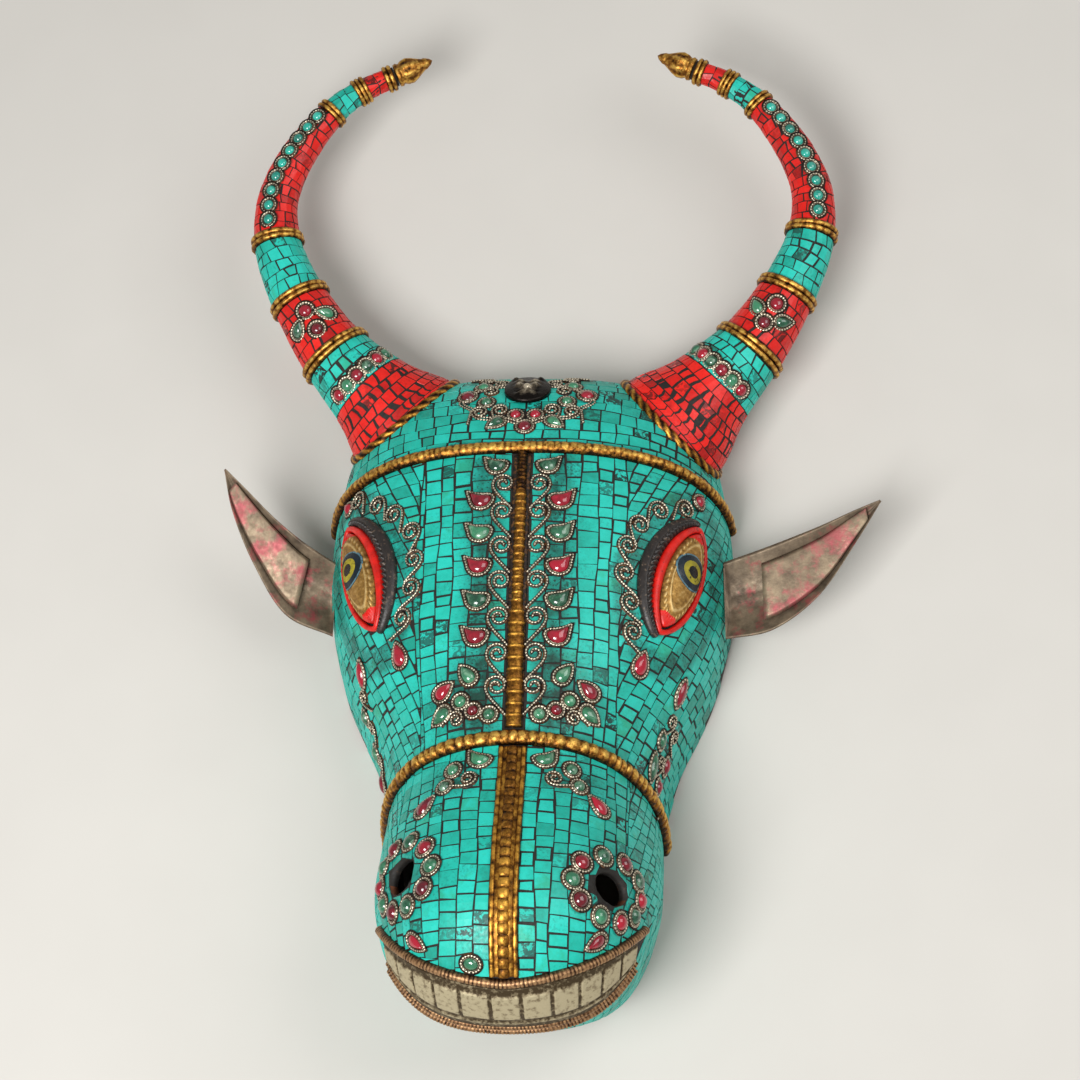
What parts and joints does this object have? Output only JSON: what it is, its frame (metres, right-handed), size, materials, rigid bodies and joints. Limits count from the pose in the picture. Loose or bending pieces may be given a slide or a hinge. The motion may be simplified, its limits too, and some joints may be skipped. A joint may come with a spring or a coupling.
{
  "type": "copper bull head mask",
  "caption": "Hollow copper bull head mask with curved horns and leaf ears, inlaid with turquoise and coral mosaic and set with gems in wire mounts.",
  "frame": {"origin": "on the surface the mask lies on, under the middle of its bounding box", "axes": "+Z out of the face, +Y towards the horn tips, +X towards the mask's right in the picture"},
  "size_m": [0.3318, 0.5333, 0.1425],
  "materials": {
    "turquoise": "polished turquoise chips set in black mastic",
    "coral": "polished red coral chips set in black mastic, with turquoise bands",
    "gilt": "worn gilt copper, dark in the hollows",
    "copper": "dull grey brown copper with rubs of pink paint",
    "silver": "blackened silvery filigree wire",
    "ruby": "cloudy red cabochons",
    "jade": "cloudy green cabochons",
    "red_paint": "matt red paint",
    "black_paint": "matt black paint on chased copper",
    "teeth": "silvery beige wash on chased copper"
  },
  "bodies": {
    "root": {"head_shell": "turquoise", "brow_band": "gilt", "muzzle_band": "gilt", "forehead_ridge": "gilt", "nose_strip": "gilt", "upper_lip": "gilt", "teeth": "teeth", "lower_lip": "gilt", "poll_medallion": "silver", "middle_lip_gem": "jade", "left_horn": "coral", "left_horn_tip": "gilt", "left_tip_horn_ring": "gilt", "left_high_horn_ring": "gilt", "left_upper_horn_ring": "gilt", "left_middle_horn_ring": "gilt", "left_lower_horn_ring": "gilt", "left_low_horn_ring": "gilt", "left_horn_collar": "gilt", "left_horn_gem_row": "turquoise", "left_horn_cluster": "jade", "left_horn_base_row": "ruby", "left_ear": "copper", "left_ear_lining": "copper", "left_eyeball": "gilt", "left_eye_rim": "red_paint", "left_eyelid": "black_paint", "left_ridge_column": "silver", "left_forehead_cluster": "silver", "left_eye_surround": "silver", "left_cheek_spray": "silver", "left_muzzle_spray": "silver", "left_nostril_ring": "silver", "left_lip_gem": "ruby", "right_horn": "coral", "right_horn_tip": "gilt", "right_tip_horn_ring": "gilt", "right_high_horn_ring": "gilt", "right_upper_horn_ring": "gilt", "right_middle_horn_ring": "gilt", "right_lower_horn_ring": "gilt", "right_low_horn_ring": "gilt", "right_horn_collar": "gilt", "right_horn_gem_row": "turquoise", "right_horn_cluster": "jade", "right_horn_base_row": "ruby", "right_ear": "copper", "right_ear_lining": "copper", "right_eyeball": "gilt", "right_eye_rim": "red_paint", "right_eyelid": "black_paint", "right_ridge_column": "silver", "right_forehead_cluster": "silver", "right_eye_surround": "silver", "right_cheek_spray": "silver", "right_muzzle_spray": "silver", "right_nostril_ring": "silver", "right_lip_gem": "ruby"}
  },
  "joints": []
}
